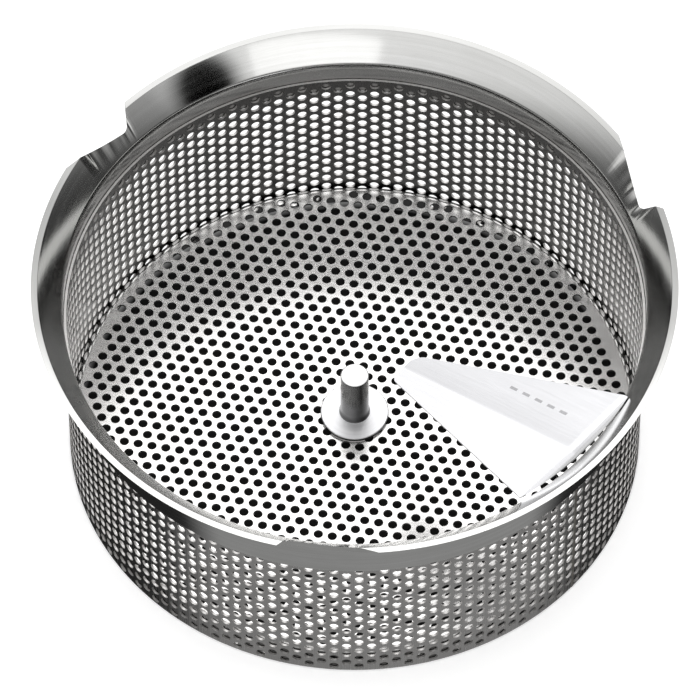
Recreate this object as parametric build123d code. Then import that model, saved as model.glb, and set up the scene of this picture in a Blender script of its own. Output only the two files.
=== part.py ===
from build123d import *
import os
from math import cos, degrees, pi, radians, sin, sqrt, tan

# Sieve basket of a rotary food mill, in millimetres. +Z is up, the origin is on the basket's axis at
# the height of the wall's bottom edge. Azimuths are in degrees from +X, counterclockwise from above.

# Perforated sheet: round holes in a 60 degree pattern
hole_diameter = 4.0
hole_pitch = 6.0
sieve_sheet = 1.0

# Wall strip and the weld bead that closes it
wall_radius = 121.8
wall_height = 87.5
wall_margin = 3.0
seam_azimuth = -41.0
seam_gap = 0.3
bead_width = 1.1
bead_proud = 0.15

# Rim ring: how far its collar overlaps the wall, how far the cone spreads beyond the collar, and how
# far its lip rises above the wall
ring_sheet = 2.0
collar_overlap = 8.7
cone_spread = 10.9
rim_rise = 21.7
cone_angle = 50.5
ring_bend = 3.0

# Notches in the cone
notch_count = 3
notch_first = 16.35
notch_step_angle = 2.9
notch_ramp_angle = 17.9
notch_depth = 7.9
notch_corner = 5.0

# Floor pan
floor_top = 12.0
floor_bend = 2.0
skirt_bottom = 0.6
lattice_angle = -10.56
lattice_phase = (0.53, 0.19)
hole_land = 1.0

# Gaps that spot welds bridge between two sheets
weld_gap = 0.2
weld_diameter = 2.8
weld_count = 12

# Pivot pin and its washers
pin_diameter = 12.0
pin_length = 29.0
pin_chamfer = 0.5
pin_foot_flare = 0.6
pin_foot_height = 1.6
spigot_diameter = 8.0
spigot_clearance = 0.2
spigot_head_overhang = 2.0
spigot_head_height = 1.6
top_washer_border = 8.5
top_washer_thickness = 2.0
bottom_washer_border = 8.0
bottom_washer_thickness = 1.5
washer_chamfer = 0.3

# Baffle plate. Its lower edge, fold and upper edge all aim at one point on the basket's axis. Each
# climbs outwards by its own slope and ends a little short of the collar's inside, or past it.
baffle_sheet = 1.2
baffle_fold_rise = 12.7
baffle_inner_radius = 27.0
baffle_upper_corner = 7.0
baffle_lower_corner = 3.0
baffle_bend = 3.0
baffle_foot_clearance = 1.0
lower_edge = {"azimuth": -55.0, "slope": 0.248, "past_collar": -0.3}
fold_line = {"azimuth": -41.0, "slope": 0.2975, "past_collar": -0.3}
upper_edge = {"azimuth": -24.5, "slope": 0.297, "past_collar": 5.0}

baffle_tack_azimuths = (-44.0, -38.5)
baffle_tack_rise = 2.5

# What follows from the sizes above
collar_inner = wall_radius + weld_gap
collar_outer = collar_inner + ring_sheet
wall_inner = wall_radius - sieve_sheet
wall_columns = 2 * int(pi * wall_radius / (hole_pitch * cos(radians(30))))
skirt_outer = wall_inner - weld_gap
skirt_inner = skirt_outer - sieve_sheet
skirt_columns = int(2 * pi * skirt_outer / hole_pitch)
floor_bottom = floor_top - sieve_sheet
floor_flat_radius = skirt_inner - floor_bend
spigot_bore = spigot_diameter + spigot_clearance
washer_top = floor_top + top_washer_thickness
rivet_seat = floor_bottom - bottom_washer_thickness
pin_top = floor_top + pin_length
collar_bottom = wall_height - collar_overlap
rim_radius = collar_outer + cone_spread
rim_height = wall_height + rim_rise
lip_width = ring_sheet / sin(radians(cone_angle))
cone_slope = tan(radians(cone_angle))
outer_crease = rim_height - (rim_radius - collar_outer) * cone_slope
inner_crease = rim_height - (rim_radius - lip_width - collar_inner) * cone_slope
flange_bottom = wall_height + baffle_foot_clearance
fold_reach = collar_inner + fold_line["past_collar"]
baffle_apex_height = wall_height + baffle_fold_rise - fold_line["slope"] * fold_reach


def polar(radius, azimuth, z=0.0):
    """The point at a radius and an azimuth round the basket's axis."""
    return Vector(radius * cos(radians(azimuth)), radius * sin(radians(azimuth)), z)


def nearest(items, point):
    """The edge or vertex that lies at a point."""
    return items.sort_by_distance(point)[0]


def radial_pin(start, end, azimuth, z, diameter):
    """A short cylinder that points away from the axis, between two radii."""
    plane = Plane(origin=polar(start, azimuth, z), z_dir=polar(1.0, azimuth))
    return Solid.make_cylinder(diameter / 2, end - start, plane)


def disc(radius, bottom, top):
    """A round solid on the axis, between two heights."""
    return Pos(0, 0, bottom) * extrude(Circle(radius), top - bottom)


def turned(points, rounds):
    """A solid of revolution from a (radius, height) outline; rounds gives some corners a radius."""
    outline = make_face(Polyline(*points, close=True))
    for index, radius in rounds.items():
        outline = fillet(nearest(outline.vertices(), points[index]), radius)
    return revolve(Plane.XZ * outline, Axis.Z)


def rim_ring():
    """Collar, bend and cone in one formed sheet, with the cone's top cut level and three notches."""
    points = [
        (collar_inner, collar_bottom),
        (collar_outer, collar_bottom),
        (collar_outer, outer_crease),
        (rim_radius, rim_height),
        (rim_radius - lip_width, rim_height),
        (collar_inner, inner_crease),
    ]
    ring = turned(points, {2: ring_bend, 5: ring_bend + ring_sheet})
    for index in range(notch_count):
        ring -= notch(notch_first + index * 360 / notch_count)
    return ring


def notch(azimuth):
    """What one notch takes away: a long straight ramp inwards, then a short step back out."""
    deep = polar(rim_radius - notch_depth, azimuth + notch_step_angle)
    step_end = polar(rim_radius, azimuth)
    ramp_end = polar(rim_radius, azimuth + notch_ramp_angle)
    beyond_step = deep + (step_end - deep) * 2.0
    beyond_ramp = deep + (ramp_end - deep) * 1.3
    outline = make_face(Polyline(deep, beyond_step, beyond_ramp, close=True))
    outline = fillet(nearest(outline.vertices(), deep), notch_corner)
    return Pos(0, 0, outer_crease) * extrude(outline, rim_height)


def plain_strip():
    """The wall before it is perforated: one flat facet per column of holes, open at the seam."""
    outer = RegularPolygon(wall_radius, wall_columns, major_radius=False, rotation=seam_azimuth)
    inner = RegularPolygon(wall_inner, wall_columns, major_radius=False, rotation=seam_azimuth)
    slit = Rot(0, 0, seam_azimuth) * Pos(wall_radius, 0) * Rectangle(4 * sieve_sheet, seam_gap)
    return extrude(outer - inner - slit, wall_height)


def side_wall():
    """The rolled strip with its staggered columns of holes."""
    holes = []
    for column in range(wall_columns):
        azimuth = seam_azimuth + (column + 0.5) * 360 / wall_columns
        first = wall_margin + (hole_pitch / 2 if column % 2 else 0)
        rows = int((wall_height - hole_diameter / 2 - hole_land - first) / hole_pitch) + 1
        for row in range(rows):
            z = first + row * hole_pitch
            holes.append(radial_pin(wall_inner - 1, wall_radius + 1, azimuth, z, hole_diameter))
    return plain_strip().cut(*holes)


def seam_weld():
    """The bead that joins the two ends of the wall strip, a little proud of it inside and out."""
    section = Pos(wall_radius - sieve_sheet / 2, 0) * Rectangle(sieve_sheet + 2 * bead_proud, bead_width)
    return Rot(0, 0, seam_azimuth) * extrude(section, wall_height) - plain_strip()


def floor_pan():
    """The perforated disc with its edge turned down inside the wall."""
    points = [
        (0, floor_bottom),
        (skirt_inner, floor_bottom),
        (skirt_inner, skirt_bottom),
        (skirt_outer, skirt_bottom),
        (skirt_outer, floor_top),
        (0, floor_top),
    ]
    pan = turned(points, {1: floor_bend, 4: floor_bend + sieve_sheet})
    holes = [disc(spigot_bore / 2, floor_bottom - 1, floor_top + 1)]
    for spot in floor_lattice():
        holes.append(Solid.make_cylinder(hole_diameter / 2, 3 * sieve_sheet, Plane(spot)))
    bend_start = floor_bottom - floor_bend
    for column in range(skirt_columns):
        azimuth = column * 360 / skirt_columns
        z = skirt_bottom + wall_margin + (hole_pitch / 2 if column % 2 else 0)
        if z + hole_diameter / 2 < bend_start and not near_floor_weld(azimuth):
            holes.append(radial_pin(skirt_inner - 1, skirt_outer + 1, azimuth, z, hole_diameter))
    return pan.cut(*holes)


def floor_lattice():
    """Where the floor's holes start: a triangular lattice, kept off the bend and off the bore."""
    along = polar(hole_pitch, lattice_angle)
    across = polar(hole_pitch, lattice_angle + 60)
    reach = int(skirt_outer / (hole_pitch * cos(radians(30)))) + 1
    largest = floor_flat_radius - hole_diameter / 2
    smallest = spigot_bore / 2 + hole_diameter / 2 + hole_land
    base = Vector(0, 0, floor_bottom - sieve_sheet)
    spots = []
    for i in range(-reach, reach + 1):
        for j in range(-reach, reach + 1):
            spot = along * (i - lattice_phase[0]) + across * (j - lattice_phase[1])
            if smallest < spot.length < largest:
                spots.append(spot + base)
    return spots


def weld_azimuths():
    """Spot welds sit on every so many of the wall's even columns, where the strip has the most metal."""
    spacing = 2 * round(wall_columns / (2 * weld_count))
    columns = range(0, wall_columns - spacing // 2, spacing)
    return [seam_azimuth + (column + 0.5) * 360 / wall_columns for column in columns]


def floor_weld_azimuths():
    """A third of the way from an even column of holes to the next, midway between three holes."""
    return [azimuth + 120 / wall_columns for azimuth in weld_azimuths()]


def near_floor_weld(azimuth):
    """Whether a hole of the skirt at this azimuth would run into a spot weld."""
    keep_off = degrees((hole_diameter / 2 + weld_diameter / 2 + hole_land) / skirt_outer)
    return any(abs((azimuth - weld + 180) % 360 - 180) < keep_off for weld in floor_weld_azimuths())


def floor_welds():
    """Weld nuggets between the floor's turned edge and the inside of the wall."""
    z = wall_margin + hole_pitch / 2
    core = disc(skirt_outer, 0, floor_top)
    strip = plain_strip()
    middle = (wall_inner + wall_radius) / 2
    return group(
        radial_pin(skirt_outer - 1, middle, azimuth, z, weld_diameter) - core - strip
        for azimuth in floor_weld_azimuths()
    )


def collar_welds():
    """Weld nuggets between the outside of the wall and the collar, over the strip's last holes."""
    z = wall_height - weld_diameter / 2 - hole_land / 2
    core = disc(collar_inner, collar_bottom, rim_height)
    return group(
        radial_pin(wall_radius, collar_inner + 1, azimuth, z, weld_diameter) & core
        for azimuth in weld_azimuths()
    )


def group(shapes):
    """Several separate solids as one piece."""
    return Compound([solid for shape in shapes for solid in shape.solids()])


def pivot_pin():
    """Turned pin with a foot that seats on the washer and a spigot headed over under the floor."""
    head = spigot_diameter / 2 + spigot_head_overhang
    foot = pin_diameter / 2 + pin_foot_flare
    points = [
        (0, rivet_seat - spigot_head_height),
        (head - spigot_head_height / 2, rivet_seat - spigot_head_height),
        (head, rivet_seat - spigot_head_height / 2),
        (head, rivet_seat),
        (spigot_diameter / 2, rivet_seat),
        (spigot_diameter / 2, washer_top),
        (foot, washer_top),
        (foot, washer_top + pin_foot_height / 2),
        (pin_diameter / 2, washer_top + pin_foot_height),
        (pin_diameter / 2, pin_top - pin_chamfer),
        (pin_diameter / 2 - pin_chamfer, pin_top),
        (0, pin_top),
    ]
    return turned(points, {})


def washer(radius, bottom, thickness):
    """A flat washer on the pin's spigot, with its outer edges broken."""
    ring = disc(radius, bottom, bottom + thickness) - disc(spigot_bore / 2, 0, pin_top)
    edges = ring.edges().filter_by(GeomType.CIRCLE).group_by(SortBy.RADIUS)[-1]
    return chamfer(edges, washer_chamfer)


def baffle_facet(start, end):
    """One flat facet of the baffle between two of its lines, with its outer end bent down."""
    first = polar(collar_inner + start["past_collar"], start["azimuth"])
    last = polar(collar_inner + end["past_collar"], end["azimuth"])
    chord = (last - first).normalized()
    inwards = chord.cross(Vector(0, 0, -1))
    lean_x, lean_y = facet_lean(start, end)
    drop = baffle_sheet * sqrt(1 + lean_x**2 + lean_y**2)

    def lifted(point, sink):
        height = baffle_apex_height + lean_x * point.X + lean_y * point.Y - sink
        return Vector(point.X, point.Y, height)

    def block(edge_shift, sink, spare):
        left = first - chord * (20 + spare) + inwards * edge_shift
        right = last + chord * (20 + spare) + inwards * edge_shift
        back = inwards * (spare - 1)
        corners = [lifted(point, sink) for point in (left, right, back)]
        return extrude(make_face(Polyline(*corners, close=True)), 200, dir=(0, 0, -1))

    middle = (first + last) / 2
    facet = block(0, 0, 0) - block(baffle_sheet, drop, 60)
    facet = fillet(nearest(facet.edges(), lifted(middle + inwards * baffle_sheet, drop)), baffle_bend)
    facet = fillet(nearest(facet.edges(), lifted(middle, 0)), baffle_bend + baffle_sheet)
    sector = Polyline((0, 0), polar(200, start["azimuth"]), polar(200, end["azimuth"]), close=True)
    return facet & Pos(0, 0, flange_bottom - 30) * extrude(make_face(sector), 200)


def facet_lean(start, end):
    """How far a facet climbs per millimetre along X and along Y, from the slopes of its two edges."""
    a, b = radians(start["azimuth"]), radians(end["azimuth"])
    turn = sin(b - a)
    lean_x = (start["slope"] * sin(b) - end["slope"] * sin(a)) / turn
    lean_y = (end["slope"] * cos(a) - start["slope"] * cos(b)) / turn
    return lean_x, lean_y


def inside_of_rim(gap):
    """The space inside the collar and the cone, a gap away from them."""
    radius = collar_inner - gap
    crease = inner_crease + gap * tan(radians(cone_angle / 2))
    points = [
        (0, 0),
        (wall_inner - 2 * baffle_bend, 0),
        (wall_inner - 2 * baffle_bend, flange_bottom),
        (radius, flange_bottom),
        (radius, crease),
        (radius + (rim_height - crease) / cone_slope, rim_height),
        (0, rim_height),
    ]
    return turned(points, {4: ring_bend + ring_sheet + gap})


def baffle_outline():
    """The baffle's shape from above, with its inner end rounded."""
    low, high = lower_edge["azimuth"], upper_edge["azimuth"]
    far = 2 * rim_radius
    sector = make_face(Polyline((0, 0), polar(far, low), polar(far, high), close=True))
    outline = sector - Circle(baffle_inner_radius)
    outline = fillet(nearest(outline.vertices(), polar(baffle_inner_radius, high)), baffle_upper_corner)
    return fillet(nearest(outline.vertices(), polar(baffle_inner_radius, low)), baffle_lower_corner)


def baffle_plate():
    """Two facets that meet at a shallow fold, trimmed to lie inside the rim."""
    plate = baffle_facet(lower_edge, fold_line) + baffle_facet(fold_line, upper_edge)
    return plate & extrude(baffle_outline(), 2 * rim_height) & inside_of_rim(weld_gap)


def baffle_welds():
    """Tack welds between the baffle's bent end and the rim."""
    sheets = [baffle_plate(), rim_ring()]
    z = flange_bottom + baffle_tack_rise
    start = fold_reach - baffle_sheet / 2
    tacks = []
    for azimuth in baffle_tack_azimuths:
        tack = radial_pin(start, collar_outer - ring_sheet / 2, azimuth, z, weld_diameter)
        for sheet in sheets:
            tack = tack - sheet
        tacks.append(tack)
    return group(tacks)


pieces = {
    "rim_ring": rim_ring(),
    "side_wall": side_wall(),
    "seam_weld": seam_weld(),
    "collar_welds": collar_welds(),
    "floor_pan": floor_pan(),
    "floor_welds": floor_welds(),
    "pivot_pin": pivot_pin(),
    "top_washer": washer(pin_diameter / 2 + top_washer_border, floor_top, top_washer_thickness),
    "bottom_washer": washer(spigot_diameter / 2 + bottom_washer_border, rivet_seat, bottom_washer_thickness),
    "baffle_plate": baffle_plate(),
    "baffle_welds": baffle_welds(),
}

os.makedirs("parts", exist_ok=True)
for name, piece in pieces.items():
    export_step(piece, f"parts/{name}.step")
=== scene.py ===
from math import asin, atan2, cos, degrees, pi, radians, sin, sqrt, tan

import bmesh
import bpy
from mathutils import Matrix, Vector


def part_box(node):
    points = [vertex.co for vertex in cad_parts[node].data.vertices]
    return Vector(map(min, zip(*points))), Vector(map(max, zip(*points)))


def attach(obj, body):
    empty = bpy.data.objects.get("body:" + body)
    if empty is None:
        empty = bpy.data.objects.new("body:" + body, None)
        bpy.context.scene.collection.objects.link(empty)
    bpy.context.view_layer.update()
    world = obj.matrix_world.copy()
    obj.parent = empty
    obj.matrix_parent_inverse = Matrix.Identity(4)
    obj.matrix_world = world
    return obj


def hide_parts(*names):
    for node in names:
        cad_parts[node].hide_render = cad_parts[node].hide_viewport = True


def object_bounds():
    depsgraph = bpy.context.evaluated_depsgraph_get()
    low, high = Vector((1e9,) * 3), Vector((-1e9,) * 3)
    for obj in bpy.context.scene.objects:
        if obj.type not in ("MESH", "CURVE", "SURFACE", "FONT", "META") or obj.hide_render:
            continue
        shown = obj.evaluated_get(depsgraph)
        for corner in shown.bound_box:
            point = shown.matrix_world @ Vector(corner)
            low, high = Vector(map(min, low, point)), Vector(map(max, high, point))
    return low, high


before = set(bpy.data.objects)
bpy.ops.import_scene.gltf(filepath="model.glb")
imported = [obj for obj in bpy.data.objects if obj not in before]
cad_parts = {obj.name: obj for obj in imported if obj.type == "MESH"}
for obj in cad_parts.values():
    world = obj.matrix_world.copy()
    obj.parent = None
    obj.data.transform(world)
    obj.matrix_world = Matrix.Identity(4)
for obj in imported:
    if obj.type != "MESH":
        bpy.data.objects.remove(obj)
cad_low, cad_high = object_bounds()
MM = 0.001

# Sizes of the basket in millimetres, as the CAD has them. The outer sizes of the rim, the pin and the
# washers come from their boxes in the frame.
RIM_LOW, RIM_HIGH = (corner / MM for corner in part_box("rim_ring"))
RIM_RADIUS = RIM_HIGH.x
RIM_TOP = RIM_HIGH.z
COLLAR_BOTTOM = RIM_LOW.z
WALL_RADIUS = 121.8
WALL_TOP = 87.5
WELD_GAP = 0.2
RING_SHEET = 2.0
RING_BEND = 3.0
CONE_ANGLE = radians(50.5)
CONE_SLOPE = tan(CONE_ANGLE)
COLLAR_INNER = WALL_RADIUS + WELD_GAP
COLLAR_OUTER = COLLAR_INNER + RING_SHEET
LIP_INNER = RIM_RADIUS - RING_SHEET / sin(CONE_ANGLE)
INNER_CREASE = RIM_TOP - (LIP_INNER - COLLAR_INNER) * CONE_SLOPE
OUTER_CREASE = RIM_TOP - (RIM_RADIUS - COLLAR_OUTER) * CONE_SLOPE

# The notches' starts are azimuths, and the step and the ramp of each are turns from there, in degrees.
NOTCH_STARTS = (16.35, 136.35, 256.35)
NOTCH_STEP = 2.9
NOTCH_RAMP = 17.9
NOTCH_DEPTH = 7.9
NOTCH_CORNER = 5.0

PIN_HEAD = 1.6
PIN_FOOT_FLARE = 0.6
SPIGOT_RADIUS = 4.0
WASHER_BORE = 4.1
WASHER_BREAK = 0.3

BAFFLE_SHEET = 1.2
BAFFLE_FOLD_RISE = 12.7
BAFFLE_INNER = 27.0
BAFFLE_ROLL = 4.2
BAFFLE_FOOT = WALL_TOP + 1.0
LOWER_CORNER = 3.0
UPPER_CORNER = 7.0
# The baffle's edges and fold as (azimuth, slope, radius of the outer end).
LOWER_EDGE = (-55.0, 0.248, COLLAR_INNER - 0.3)
FOLD_LINE = (-41.0, 0.2975, COLLAR_INNER - 0.3)
UPPER_EDGE = (-24.5, 0.297, COLLAR_INNER + 5.0)
BAFFLE_APEX = WALL_TOP + BAFFLE_FOLD_RISE - FOLD_LINE[1] * FOLD_LINE[2]

# How finely the meshes are divided.
RIM_STEPS = 540
STEP_PARTS, CORNER_PARTS, RAMP_PARTS = 8, 8, 24
ROLL_PARTS, DROP_PARTS, CLIP_PARTS = 12, 4, 60
BAFFLE_RAYS, BAFFLE_POINTS = 90, 72


def polar(radius, azimuth):
    return Vector((radius * cos(radians(azimuth)), radius * sin(radians(azimuth))))


# ---------------------------------------------------------------- meshes

def add_mesh(name, points, faces, smooth_angle=32):
    """A mesh object from points in millimetres, shaded smooth except across sharp edges."""
    mesh = bpy.data.meshes.new(name)
    mesh.from_pydata([tuple(c * MM for c in point) for point in points], [], faces)
    mesh.validate()
    mesh.shade_smooth()
    mesh.set_sharp_from_angle(angle=radians(smooth_angle))
    piece = bpy.data.objects.new(name, mesh)
    bpy.context.scene.collection.objects.link(piece)
    return piece


def closed_grid(rows):
    """Points and faces of a grid that closes on itself both ways."""
    n, m = len(rows), len(rows[0])
    points = [point for row in rows for point in row]
    faces = []
    for i in range(n):
        for j in range(m):
            a, b = i * m + j, i * m + (j + 1) % m
            c, d = ((i + 1) % n) * m + (j + 1) % m, ((i + 1) % n) * m + j
            faces.append((a, b, c, d))
    return points, faces


def rounded(corners, radii, steps=4):
    """A closed outline with each corner rounded by its radius, as far as its sides allow."""
    straight, side_share = 0.01, 0.45
    result = []
    count = len(corners)
    for index in range(count):
        here = Vector(corners[index])
        before = Vector(corners[index - 1]) - here
        after = Vector(corners[(index + 1) % count]) - here
        radius = radii[index]
        turn = before.angle(after, pi)
        tangent = radius / tan(turn / 2) if turn > straight else 0
        limit = side_share * min(before.length, after.length)
        if tangent > limit:
            radius *= limit / tangent
            tangent = limit
        start = here + before.normalized() * tangent
        end = here + after.normalized() * tangent
        for step in range(steps + 1):
            t = step / steps
            result.append((1 - t) ** 2 * start + 2 * t * (1 - t) * here + t**2 * end)
    return result


def notch_edge(start):
    """The notch's edge seen from above, as (azimuth, radius) pairs from its step to its ramp's end."""
    deep = polar(RIM_RADIUS - NOTCH_DEPTH, start + NOTCH_STEP)
    to_step = polar(RIM_RADIUS, start) - deep
    to_ramp = polar(RIM_RADIUS, start + NOTCH_RAMP) - deep
    half = to_step.angle(to_ramp) / 2
    tangent = NOTCH_CORNER / tan(half)
    centre = deep + (to_step.normalized() + to_ramp.normalized()).normalized() * NOTCH_CORNER / sin(half)
    first = deep + to_step.normalized() * tangent
    last = deep + to_ramp.normalized() * tangent
    spots = [polar(RIM_RADIUS, start).lerp(first, k / STEP_PARTS) for k in range(STEP_PARTS + 1)]
    begin = atan2(first.y - centre.y, first.x - centre.x)
    sweep = (atan2(last.y - centre.y, last.x - centre.x) - begin + pi) % (2 * pi) - pi
    for k in range(1, CORNER_PARTS):
        angle = begin + sweep * k / CORNER_PARTS
        spots.append(centre + NOTCH_CORNER * Vector((cos(angle), sin(angle))))
    ramp_end = polar(RIM_RADIUS, start + NOTCH_RAMP)
    spots += [last.lerp(ramp_end, k / RAMP_PARTS) for k in range(RAMP_PARTS + 1)]
    return [(degrees(atan2(p.y, p.x)) % 360, p.length) for p in spots]


def rim_cuts():
    """Azimuths round the rim with the radius at which the cone is cut off there."""
    margin = 0.3
    cuts = []
    for k in range(RIM_STEPS):
        azimuth = k * 360 / RIM_STEPS
        if not any(s - margin < azimuth < s + NOTCH_RAMP + margin for s in NOTCH_STARTS):
            cuts.append((azimuth, RIM_RADIUS))
    for start in NOTCH_STARTS:
        cuts += notch_edge(start)
    return sorted(cuts)


def rim_section(cut):
    """The ring's section where the cone is cut off vertically at a radius. A hair's breadth keeps the
    points at the cut apart."""
    edge_break, lip_break, hair = 0.2, 0.15, 0.0001
    inner_end = min(LIP_INNER, cut)
    outer_end = min(RIM_RADIUS, cut)
    inner_top = RIM_TOP - (LIP_INNER - inner_end) * CONE_SLOPE
    outer_top = RIM_TOP - (RIM_RADIUS - outer_end) * CONE_SLOPE
    corners = [
        (COLLAR_INNER, COLLAR_BOTTOM),
        (COLLAR_OUTER, COLLAR_BOTTOM),
        (COLLAR_OUTER, OUTER_CREASE),
        (outer_end, outer_top),
        (outer_end + hair, inner_top),
        (inner_end - hair, inner_top),
        (COLLAR_INNER, INNER_CREASE),
    ]
    radii = (edge_break, edge_break, RING_BEND, lip_break, lip_break, lip_break, RING_BEND + RING_SHEET)
    return rounded(corners, radii, steps=5)


def make_rim():
    rows = []
    for azimuth, cut in rim_cuts():
        a = radians(azimuth)
        rows.append([(p.x * cos(a), p.x * sin(a), p.y) for p in rim_section(cut)])
    return add_mesh("rim", *closed_grid(rows), smooth_angle=28)


def lathe(name, outline, segments=128):
    """A turned piece from a closed (radius, height) outline, kept just off the axis."""
    off_axis = 0.001
    rows = []
    for k in range(segments):
        a = 2 * pi * k / segments
        spots = [(max(radius, off_axis), height) for radius, height in outline]
        rows.append([(radius * cos(a), radius * sin(a), height) for radius, height in spots])
    return add_mesh(name, *closed_grid(rows), smooth_angle=25)


def pin_outline():
    """The riveted head under the floor, the spigot through it, the flared foot and the broken top edge."""
    low, high = (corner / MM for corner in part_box("pivot_pin"))
    foot = high.x
    radius = foot - PIN_FOOT_FLARE
    seat = low.z + PIN_HEAD
    washer_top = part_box("top_washer")[1].z / MM
    return [
        (0, low.z), (radius - 0.8, low.z), (radius - 0.3, low.z + 0.3), (radius, low.z + 0.8),
        (radius, seat), (SPIGOT_RADIUS, seat), (SPIGOT_RADIUS, washer_top),
        (foot - 0.3, washer_top), (foot, washer_top + 0.3), (foot - 0.05, washer_top + 0.9),
        (radius + 0.22, washer_top + 1.6), (radius + 0.05, washer_top + 2.6), (radius, washer_top + 4.0),
        (radius, high.z - 0.5), (radius - 0.15, high.z - 0.18), (radius - 0.5, high.z), (0, high.z),
    ]


def washer_outline(node):
    low, high = (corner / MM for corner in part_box(node))
    edge = high.x
    return [
        (WASHER_BORE, low.z), (edge - WASHER_BREAK, low.z), (edge, low.z + WASHER_BREAK),
        (edge, high.z - WASHER_BREAK), (edge - WASHER_BREAK, high.z), (WASHER_BORE, high.z),
    ]


def lean(start, end):
    """How a facet climbs per millimetre along X and Y, from the slopes of its two edges."""
    a, b = radians(start[0]), radians(end[0])
    turn = sin(b - a)
    return Vector((
        (start[1] * sin(b) - end[1] * sin(a)) / turn,
        (end[1] * cos(a) - start[1] * cos(b)) / turn,
    ))


def facet(azimuth):
    """The two edges of the facet that a ray crosses."""
    return (LOWER_EDGE, FOLD_LINE) if azimuth < FOLD_LINE[0] else (FOLD_LINE, UPPER_EDGE)


def baffle_slope(azimuth):
    """The climb along one ray, averaged over rays on either side so that the fold is softly rounded."""
    aside, spacing = 4, 0.22
    total = 0.0
    for k in range(-aside, aside + 1):
        ray = azimuth + k * spacing
        total += lean(*facet(ray)).dot(polar(1.0, ray))
    return total / (2 * aside + 1)


def baffle_reach(azimuth):
    """Where a ray meets the straight outer edge of its facet."""
    start, end = facet(azimuth)
    first, last = polar(start[2], start[0]), polar(end[2], end[0])
    chord = last - first
    ray = polar(1.0, azimuth)
    return (first.x * chord.y - first.y * chord.x) / (ray.x * chord.y - ray.y * chord.x)


def baffle_start(azimuth):
    """Where a ray enters the plate at its inner end, whose two corners are rounded."""
    for edge, corner in ((LOWER_EDGE, LOWER_CORNER), (UPPER_EDGE, UPPER_CORNER)):
        centre = BAFFLE_INNER + corner
        away = asin(corner / centre) - radians(abs(azimuth - edge[0]))
        if away > 0:
            return centre * cos(away) - sqrt(max(0.0, corner**2 - (centre * sin(away)) ** 2))
    return BAFFLE_INNER


def rim_floor(radius):
    """The lowest the baffle may be near the rim: its foot, or just clear of the cone."""
    foot_width, clearance = 8, 0.5
    if radius < COLLAR_INNER - foot_width:
        return 0.0
    return max(BAFFLE_FOOT, INNER_CREASE + (radius + clearance - COLLAR_INNER) * CONE_SLOPE)


def above_rim(points):
    """A path, ended where it comes down to the rim."""
    slack = 0.001
    kept = [points[0]]
    for point in points[1:]:
        if point.y < rim_floor(point.x) - slack:
            ways = [kept[-1].lerp(point, k / CLIP_PARTS) for k in range(CLIP_PARTS + 1)]
            kept.append([way for way in ways if way.y >= rim_floor(way.x) - 2 * slack][-1])
            break
        kept.append(point)
    return kept


def baffle_profile(azimuth, count):
    """Points along one ray, over the rolled outer edge and down to the foot."""
    slope, reach, start = baffle_slope(azimuth), baffle_reach(azimuth), baffle_start(azimuth)
    corner = Vector((reach, BAFFLE_APEX + slope * reach))
    inwards = Vector((-1.0, -slope)).normalized()
    down = Vector((0.0, -1.0))
    half = inwards.angle(down) / 2
    tangent = BAFFLE_ROLL / tan(half)
    centre = corner + (inwards + down).normalized() * BAFFLE_ROLL / sin(half)
    begin = corner + inwards * tangent - centre
    high = atan2(begin.y, begin.x)
    inner, outer = Vector((start, BAFFLE_APEX + slope * start)), centre + begin
    flat_parts = count // 2
    points = [inner.lerp(outer, k / flat_parts) for k in range(flat_parts)]
    points.append(outer)
    for k in range(1, ROLL_PARTS + 1):
        angle = high * (1 - k / ROLL_PARTS)
        points.append(centre + BAFFLE_ROLL * Vector((cos(angle), sin(angle))))
    rolled, foot = points[-1], Vector((reach, BAFFLE_FOOT))
    points += [rolled.lerp(foot, k / DROP_PARTS) for k in range(1, DROP_PARTS + 1)]
    return resampled(above_rim(points), count)


def resampled(points, count):
    """The same path with a fixed number of points, closer together over its last part."""
    bunching, shortest = 2.2, 1e-9
    lengths = [0.0]
    for a, b in zip(points, points[1:]):
        lengths.append(lengths[-1] + (b - a).length)
    result = []
    for k in range(count):
        share = k / (count - 1)
        target = lengths[-1] * (1 - (1 - share) ** bunching)
        i = next((i for i in range(1, len(points)) if lengths[i] >= target), len(points) - 1)
        span = max(lengths[i] - lengths[i - 1], shortest)
        result.append(points[i - 1].lerp(points[i], min(1.0, (target - lengths[i - 1]) / span)))
    return result


def make_baffle():
    """The folded plate with its rolled outer edge, as a sheet of even thickness."""
    across, along, smooth_angle = BAFFLE_RAYS, BAFFLE_POINTS, 40
    low, high = LOWER_EDGE[0], UPPER_EDGE[0]
    points = []
    for i in range(across):
        azimuth = low + (high - low) * (0.5 - 0.5 * cos(pi * i / (across - 1)))
        a = radians(azimuth)
        points += [(p.x * cos(a), p.x * sin(a), p.y) for p in baffle_profile(azimuth, along)]
    faces = []
    for i in range(across - 1):
        for j in range(along - 1):
            k = i * along + j
            faces.append((k, k + 1, k + along + 1, k + along))
    piece = add_mesh("baffle", points, faces)
    shell = bmesh.new()
    shell.from_mesh(piece.data)
    bmesh.ops.recalc_face_normals(shell, faces=shell.faces)
    if sum(face.normal.z for face in shell.faces) < 0:
        bmesh.ops.reverse_faces(shell, faces=shell.faces)
    bmesh.ops.solidify(shell, geom=shell.faces[:], thickness=BAFFLE_SHEET * MM)
    bmesh.ops.recalc_face_normals(shell, faces=shell.faces)
    shell.to_mesh(piece.data)
    shell.free()
    piece.data.shade_smooth()
    piece.data.set_sharp_from_angle(angle=radians(smooth_angle))
    return piece


# ---------------------------------------------------------------- materials

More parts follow.
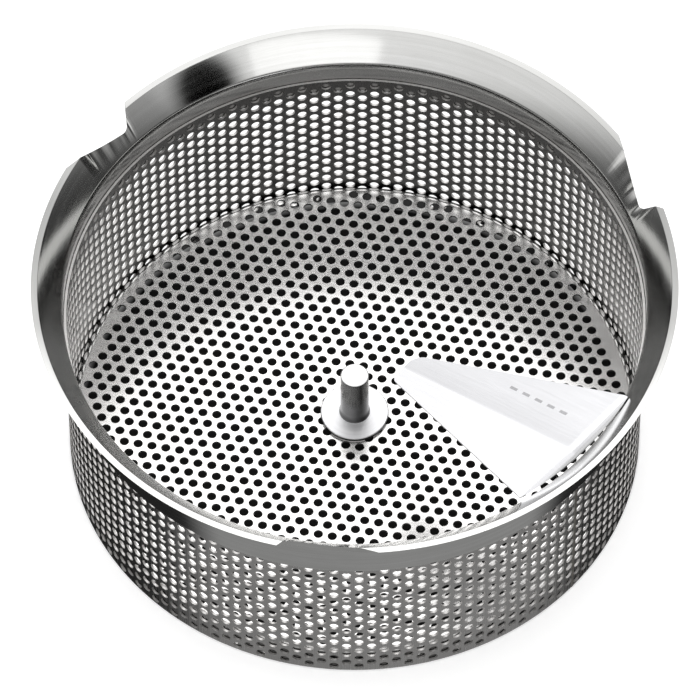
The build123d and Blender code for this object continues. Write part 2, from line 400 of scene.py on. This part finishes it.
class Nodes:
    """Adds shader nodes to a tree. An input is given as a value or as another node's output."""

    def __init__(self, tree):
        self.tree = tree

    def add(self, kind, inputs=None, **values):
        node = self.tree.nodes.new(kind)
        for key, value in values.items():
            setattr(node, key, value)
        for key, value in (inputs or {}).items():
            self.put(node.inputs[key], value)
        return node

    def put(self, socket, value):
        if isinstance(value, bpy.types.NodeSocket):
            self.tree.links.new(value, socket)
        else:
            socket.default_value = value

    def math(self, operation, a, b=0.0):
        return self.add("ShaderNodeMath", {0: a, 1: b}, operation=operation).outputs[0]

    def mix(self, factor, a, b):
        inputs = {"Factor": factor, "A": a, "B": b}
        return self.add("ShaderNodeMix", inputs, data_type="FLOAT").outputs[0]

    def polar_place(self, along, across):
        """Object position as (angle round the axis, radius, height), scaled along and across."""
        place = self.add("ShaderNodeTexCoord").outputs["Object"]
        split = self.add("ShaderNodeSeparateXYZ", {0: place})
        angle = self.math("ARCTAN2", split.outputs[1], split.outputs[0])
        flat = self.add("ShaderNodeCombineXYZ", {0: split.outputs[0], 1: split.outputs[1]}).outputs[0]
        radius = self.add("ShaderNodeVectorMath", {0: flat}, operation="LENGTH").outputs["Value"]
        return self.add("ShaderNodeCombineXYZ", {
            0: self.math("MULTIPLY", angle, along),
            1: self.math("MULTIPLY", radius, across),
            2: self.math("MULTIPLY", split.outputs[2], across),
        }).outputs[0]

    def straight_place(self, scale, turn=0.0):
        """Object position, turned about the axis and then scaled."""
        place = self.add("ShaderNodeTexCoord").outputs["Object"]
        turned = self.add("ShaderNodeMapping", {"Vector": place, "Rotation": (0, 0, turn)})
        return self.add("ShaderNodeMapping", {"Vector": turned.outputs[0], "Scale": scale}).outputs[0]

    def noise(self, vector, scale, detail=4.0, roughness=0.55):
        return self.add("ShaderNodeTexNoise", {
            "Vector": vector, "Scale": scale, "Detail": detail, "Roughness": roughness,
        }).outputs[0]

    def ramp(self, factor, stops):
        """A colour ramp through (position, grey or colour) stops."""
        node = self.add("ShaderNodeValToRGB", {0: factor})
        elements = node.color_ramp.elements
        while len(elements) < len(stops):
            elements.new(0.5)
        for element, (position, value) in zip(elements, stops):
            element.position = position
            element.color = (*value, 1) if isinstance(value, tuple) else (value, value, value, 1)
        return node.outputs[0]

    def spread(self, factor, low, high, from_low=0.3, from_high=0.7):
        """The factor's range from_low to from_high, mapped to low to high and clamped there."""
        return self.add("ShaderNodeMapRange", {
            "Value": factor, "From Min": from_low, "From Max": from_high, "To Min": low, "To Max": high,
        }).outputs[0]


def new_material(name):
    """A material that is one Principled shader so far."""
    material = bpy.data.materials.new(name)
    material.use_nodes = True
    material.node_tree.nodes.clear()
    nodes = Nodes(material.node_tree)
    shader = nodes.add("ShaderNodeBsdfPrincipled")
    output = nodes.add("ShaderNodeOutputMaterial")
    nodes.put(output.inputs["Surface"], shader.outputs[0])
    return material, nodes, shader


def brushed_steel(name, dark, light, smoothest, roughest, grain, depth, place, shade=None, rough=None):
    """Steel with a fine grain, faint smears and slightly uneven gloss. The functions place, shade and rough
    take the tree's nodes: place says how the grain runs, shade scales the colour with painted light and
    shade, and rough adds to the roughness."""
    smear_scale, grain_share, bump_depth = 18.0, 0.5, 0.2 * MM
    material, nodes, shader = new_material(name)
    lines = nodes.noise(place(nodes), grain, 6.0, 0.6)
    smears = nodes.noise(nodes.straight_place((1, 1, 1)), smear_scale, 5.0, 0.6)
    grained = nodes.math("MULTIPLY", lines, grain_share)
    smeared = nodes.math("MULTIPLY", smears, 1 - grain_share)
    tone = nodes.math("ADD", grained, smeared)
    colour = nodes.ramp(tone, ((0.35, dark), (0.65, light)))
    if shade:
        scaled = nodes.add("ShaderNodeVectorMath", {0: colour, "Scale": shade(nodes)}, operation="SCALE")
        colour = scaled.outputs[0]
    gloss = nodes.spread(tone, smoothest, roughest)
    if rough:
        gloss = nodes.math("ADD", gloss, rough(nodes))
    nodes.put(shader.inputs["Base Color"], colour)
    nodes.put(shader.inputs["Metallic"], 1.0)
    nodes.put(shader.inputs["Roughness"], gloss)
    bump = nodes.add("ShaderNodeBump", {"Height": lines, "Strength": depth, "Distance": bump_depth})
    nodes.put(shader.inputs["Normal"], bump.outputs[0])
    return material


def round_grain(along, across):
    return lambda nodes: nodes.polar_place(along, across)


def straight_grain(scale, turn):
    return lambda nodes: nodes.straight_place(scale, turn)


# The functions below scale a steel's colour or roughness by where a face is on the basket and which way it
# looks. They stand in for shade and reflections that the studio doesn't give.

def facing_out(nodes):
    """0 where a face looks at the basket's axis, 0.5 inside a hole, 1 where it looks outwards."""
    coords = nodes.add("ShaderNodeTexCoord")
    place, normal = coords.outputs["Object"], coords.outputs["Normal"]
    flat = nodes.add("ShaderNodeVectorMath", {0: place, 1: (1, 1, 0)}, operation="MULTIPLY").outputs[0]
    radial = nodes.add("ShaderNodeVectorMath", {0: flat}, operation="NORMALIZE").outputs[0]
    facing = nodes.add("ShaderNodeVectorMath", {0: normal, 1: radial}, operation="DOT_PRODUCT")
    return nodes.spread(facing.outputs["Value"], 0.0, 1.0, -1.0, 1.0)


def wall_shade(nodes):
    """Painted shade darkens the face towards the axis, a painted highlight brightens the holes, and the
    outside stays plain.
    """
    return nodes.ramp(facing_out(nodes), ((0.10, 0.10), (0.22, 1.40), (0.78, 1.40), (0.90, 1.00)))


def wall_rough(nodes):
    """Rougher in the holes."""
    return nodes.ramp(facing_out(nodes), ((0.10, 0.0), (0.22, 0.3), (0.78, 0.3), (0.90, 0.0)))


def object_place(nodes):
    """Object position as X, Y and Z."""
    place = nodes.add("ShaderNodeTexCoord").outputs["Object"]
    return nodes.add("ShaderNodeSeparateXYZ", {0: place}).outputs


def object_normal(nodes):
    """The face's direction as X, Y and Z."""
    normal = nodes.add("ShaderNodeTexCoord").outputs["Normal"]
    return nodes.add("ShaderNodeSeparateXYZ", {0: normal}).outputs


def level_face(nodes):
    """1 on level faces, 0 on upright ones."""
    return nodes.spread(nodes.math("ABSOLUTE", object_normal(nodes)[2]), 0.0, 1.0, 0.35, 0.75)


def pan_shade(nodes):
    """Painted shade in the holes and on the turned edge, and a painted highlight that lifts the level faces.
    """
    return nodes.ramp(level_face(nodes), ((0.0, 0.10), (1.0, 1.12)))


def lip_mask(nodes):
    """1 on the ground top edge of the rim."""
    low, high = (RIM_TOP - 0.22) * MM, (RIM_TOP - 0.08) * MM
    return nodes.spread(object_place(nodes)[2], 0.0, 1.0, low, high)


def rim_shade(nodes):
    """Painted shade darkens the inside of the collar, where the basket shades it. A painted reflection makes
    the ground lip bright in front, dullest just behind the middle and paler again at the back."""
    darkening = 0.72
    place = object_place(nodes)
    back = nodes.spread(place[1], 0.0, 1.0, -RIM_RADIUS * MM, RIM_RADIUS * MM)
    # painted reflection: the lip's tone is set by its place from front to back
    ground = nodes.ramp(back, ((0.25, 1.20), (0.42, 0.62), (0.65, 0.45), (0.85, 0.8), (1.0, 0.9)))
    lip = nodes.mix(lip_mask(nodes), 1.0, ground)
    # painted shade inside the collar, below the inner crease
    below = nodes.spread(place[2], 1.0, 0.0, (INNER_CREASE - 2.5) * MM, (INNER_CREASE + 0.5) * MM)
    inside = nodes.ramp(facing_out(nodes), ((0.2, 1.0), (0.4, 0.0)))
    hidden = nodes.math("MULTIPLY", nodes.math("MULTIPLY", below, inside), darkening)
    return nodes.math("MULTIPLY", lip, nodes.math("SUBTRACT", 1.0, hidden))


def lip_rough(nodes):
    """Rougher on the ground lip."""
    return nodes.ramp(lip_mask(nodes), ((0.0, 0.0), (1.0, 0.25)))


def turned_shade(nodes):
    """A painted highlight on the level faces, and painted shade on the sides, which darken from -X towards
    +X, with a paler last edge.
    """
    level_tone = 1.25
    # painted shade on the sides by which way they face; level_tone is a painted highlight
    side = nodes.spread(object_normal(nodes)[0], 0.0, 1.0, -1.0, 1.0)
    sides = nodes.ramp(side, ((0.0, 0.34), (0.35, 0.26), (0.6, 0.11), (0.85, 0.10), (1.0, 0.2)))
    return nodes.mix(level_face(nodes), sides, level_tone)


def washer_shade(nodes):
    """A painted highlight on the level faces and painted shade on the edges."""
    return nodes.ramp(level_face(nodes), ((0.0, 0.05), (1.0, 1.25)))


def baffle_shade(nodes):
    """Painted shade makes the facet above the fold greyer, most of all beside the fold, and that facet has a
    row of dashes.
    Painted shade makes the plate's upright edges dark."""
    upper_darkening, fold_darkening, dash_darkening = 0.07, 0.09, 0.4
    place = nodes.add("ShaderNodeTexCoord").outputs["Object"]
    turned = nodes.add("ShaderNodeVectorRotate", {
        "Vector": place, "Angle": radians(-FOLD_LINE[0]),
    }, rotation_type="Z_AXIS").outputs[0]
    along, across = nodes.add("ShaderNodeSeparateXYZ", {0: turned}).outputs[:2]
    upper = nodes.spread(across, 0.0, 1.0, -0.4 * MM, 1.2 * MM)
    near = nodes.spread(across, 1.0, 0.0, 0.0, 14 * MM)
    tone = nodes.math("SUBTRACT", 1.0, nodes.math("MULTIPLY", upper, upper_darkening))
    soft = nodes.math("MULTIPLY", nodes.math("MULTIPLY", upper, near), fold_darkening)
    marks = nodes.math("MULTIPLY", dashes(nodes, along, across), dash_darkening)
    plain = nodes.math("SUBTRACT", nodes.math("SUBTRACT", tone, soft), marks)
    # painted shade on the plate's upright edges
    return nodes.math("MULTIPLY", plain, nodes.ramp(level_face(nodes), ((0.0, 0.06), (1.0, 1.0))))


def dashes(nodes, along, across):
    """1 on a short row of plain dashes on the upper facet, from the places along and across the fold."""
    row, half_width = 14.5 * MM, 0.7 * MM
    middle, half_length = 88 * MM, 16 * MM
    dashes_per_metre, dash_share = 150.0, 0.55
    width = nodes.math("COMPARE", across, row)
    width.node.inputs[2].default_value = half_width
    length = nodes.math("COMPARE", along, middle)
    length.node.inputs[2].default_value = half_length
    beat = nodes.math("FRACT", nodes.math("MULTIPLY", along, dashes_per_metre))
    on = nodes.math("LESS_THAN", beat, dash_share)
    return nodes.math("MULTIPLY", nodes.math("MULTIPLY", width, length), on)


rim_steel = brushed_steel(
    "rim_steel", (0.62, 0.62, 0.605), (0.76, 0.76, 0.75), 0.07, 0.14, 3.0, 0.04, round_grain(0.6, 150.0),
    rim_shade, lip_rough)
sieve_steel = brushed_steel(
    "sieve_steel", (0.76, 0.75, 0.735), (0.88, 0.87, 0.86), 0.20, 0.30, 4.0, 0.10,
    straight_grain((8.0, 160.0, 8.0), radians(10.56)), pan_shade)
wall_steel = brushed_steel(
    "wall_steel", (0.50, 0.49, 0.48), (0.66, 0.65, 0.64), 0.20, 0.32, 4.0, 0.10, round_grain(60.0, 12.0),
    wall_shade, wall_rough)
baffle_steel = brushed_steel(
    "baffle_steel", (0.83, 0.83, 0.85), (0.90, 0.90, 0.92), 0.18, 0.28, 5.0, 0.04,
    straight_grain((10.0, 180.0, 10.0), radians(41.0)), baffle_shade)
turned_steel = brushed_steel(
    "turned_steel", (0.60, 0.60, 0.60), (0.76, 0.76, 0.76), 0.14, 0.26, 3.0, 0.10, round_grain(0.2, 420.0),
    turned_shade)
washer_steel = brushed_steel(
    "washer_steel", (0.66, 0.66, 0.67), (0.78, 0.78, 0.79), 0.38, 0.50, 3.0, 0.10, round_grain(0.2, 420.0),
    washer_shade)
weld_steel = brushed_steel(
    "weld_steel", (0.30, 0.28, 0.26), (0.55, 0.52, 0.48), 0.35, 0.55, 60.0, 0.5,
    straight_grain((1.0, 1.0, 1.0), 0.0))


def dress(node, material):
    """Puts one material on the whole of a CAD piece."""
    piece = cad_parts[node]
    for slot in piece.material_slots:
        slot.material = material
    if not piece.material_slots:
        piece.data.materials.append(material)


def adopt(piece, material, node):
    """A new piece that stands for a CAD node."""
    piece.data.materials.append(material)
    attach(piece, "root")
    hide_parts(node)


adopt(make_rim(), rim_steel, "rim_ring")
adopt(make_baffle(), baffle_steel, "baffle_plate")
adopt(lathe("pin", pin_outline()), turned_steel, "pivot_pin")
adopt(lathe("upper_washer", washer_outline("top_washer")), washer_steel, "top_washer")
adopt(lathe("lower_washer", washer_outline("bottom_washer")), washer_steel, "bottom_washer")
for node, material in {
    "side_wall": wall_steel,
    "floor_pan": sieve_steel,
    "seam_weld": weld_steel,
    "collar_welds": weld_steel,
    "floor_welds": weld_steel,
    "baffle_welds": weld_steel,
}.items():
    dress(node, material)


# ---------------------------------------------------------------- stage

def make_floor():
    """A plain pale floor with a faint glow. It is painted nearly black only right under the basket, a
    painted shadow for where hardly any light reaches."""
    size, gap, glow = 6.0, 0.2 * MM, 0.45
    mesh = bpy.data.meshes.new("studio_floor")
    corners = [(-size, -size, 0), (size, -size, 0), (size, size, 0), (-size, size, 0)]
    mesh.from_pydata(corners, [], [(0, 1, 2, 3)])
    floor = bpy.data.objects.new("studio_floor", mesh)
    bpy.context.scene.collection.objects.link(floor)
    floor.location.z = cad_low.z - gap
    material, nodes, shader = new_material("studio_floor")
    place = nodes.add("ShaderNodeTexCoord").outputs["Object"]
    distance = nodes.add("ShaderNodeVectorMath", {0: place}, operation="LENGTH").outputs["Value"]
    # painted shadow: the floor's colour drops to near black inside the basket's radius
    shade = nodes.spread(distance, 0.0, 1.0, (WALL_RADIUS - 5) * MM, (WALL_RADIUS + 1) * MM)
    pale = nodes.ramp(shade, ((0.0, 0.02), (1.0, 0.90)))
    nodes.put(shader.inputs["Base Color"], pale)
    nodes.put(shader.inputs["Emission Color"], pale)
    nodes.put(shader.inputs["Emission Strength"], nodes.math("MULTIPLY", shade, glow))
    nodes.put(shader.inputs["Roughness"], 0.9)
    nodes.put(shader.inputs["Specular IOR Level"], 0.1)
    mesh.materials.append(material)
    floor.visible_glossy = False


def make_world():
    """Soft white studio, bright above and dark at floor level. Below lies a grey table, paler in front.
    Behind stands a grey screen, at the right a darker wall, and in front at the right a small black flag."""
    flag_place = (0.70, -0.63, 0.32)
    world = bpy.data.worlds.new("studio")
    bpy.context.scene.world = world
    world.use_nodes = True
    world.node_tree.nodes.clear()
    nodes = Nodes(world.node_tree)
    direction = nodes.add("ShaderNodeTexCoord").outputs["Generated"]
    split = nodes.add("ShaderNodeSeparateXYZ", {0: direction})
    height = nodes.spread(split.outputs[2], 0.0, 1.0, -1.0, 1.0)
    sky = nodes.ramp(height, (
        (0.40, 0.05), (0.53, 0.07), (0.58, 0.22), (0.66, 0.88), (0.72, 1.0), (1.0, 1.05),
    ))
    aside = nodes.math("MULTIPLY", split.outputs[0], 0.18)
    table = nodes.spread(nodes.math("SUBTRACT", aside, split.outputs[1]), 0.02, 0.31, 0.03, 0.17)
    below = nodes.spread(split.outputs[2], 1.0, 0.0, -0.5, -0.3)
    screen = nodes.spread(split.outputs[1], 0.0, 0.32, 0.62, 0.74)
    tone = nodes.math("MAXIMUM", nodes.mix(below, sky, table), screen)
    flag = nodes.add("ShaderNodeVectorMath", {0: direction, 1: flag_place}, operation="DISTANCE")
    unflagged = nodes.spread(flag.outputs["Value"], 0.0, 1.0, 0.12, 0.22)
    side = nodes.spread(split.outputs[0], 1.0, 0.42, 0.72, 0.86)
    tone = nodes.math("MULTIPLY", nodes.math("MULTIPLY", tone, unflagged), side)
    background = nodes.add("ShaderNodeBackground", {"Color": tone, "Strength": 1.0})
    output = nodes.add("ShaderNodeOutputWorld")
    nodes.put(output.inputs["Surface"], background.outputs[0])


def area_light(name, place, aim, size, power):
    """A rectangular softbox that faces its aim."""
    light = bpy.data.lights.new(name, "AREA")
    light.shape = "RECTANGLE"
    light.size, light.size_y = size
    light.energy = power
    holder = bpy.data.objects.new(name, light)
    holder.location = place
    holder.rotation_euler = (Vector(aim) - Vector(place)).to_track_quat("-Z", "Y").to_euler()
    bpy.context.scene.collection.objects.link(holder)


def make_camera():
    """A long lens, 55 degrees above the floor, on the -Y side."""
    place, aim = Vector((0.0, -1.832, 2.702)), Vector((-0.002, 0.033, 0.012))
    camera = bpy.data.cameras.new("camera")
    camera.sensor_width = 36.0
    camera.lens = 392.0
    camera.clip_end = 30.0
    holder = bpy.data.objects.new("camera", camera)
    holder.location = place
    holder.rotation_mode = "QUATERNION"
    holder.rotation_quaternion = (aim - place).to_track_quat("-Z", "Y")
    bpy.context.scene.collection.objects.link(holder)
    bpy.context.scene.camera = holder


make_floor()
make_world()
area_light("front_softbox", (0.45, -2.0, 0.95), (0, 0, 0.1), (1.5, 0.7), 1.5)
area_light("top_softbox", (0.0, 1.2, 2.2), (0, 0, 0), (2.5, 2.0), 10)
make_camera()
bpy.context.scene.view_settings.view_transform = "Standard"
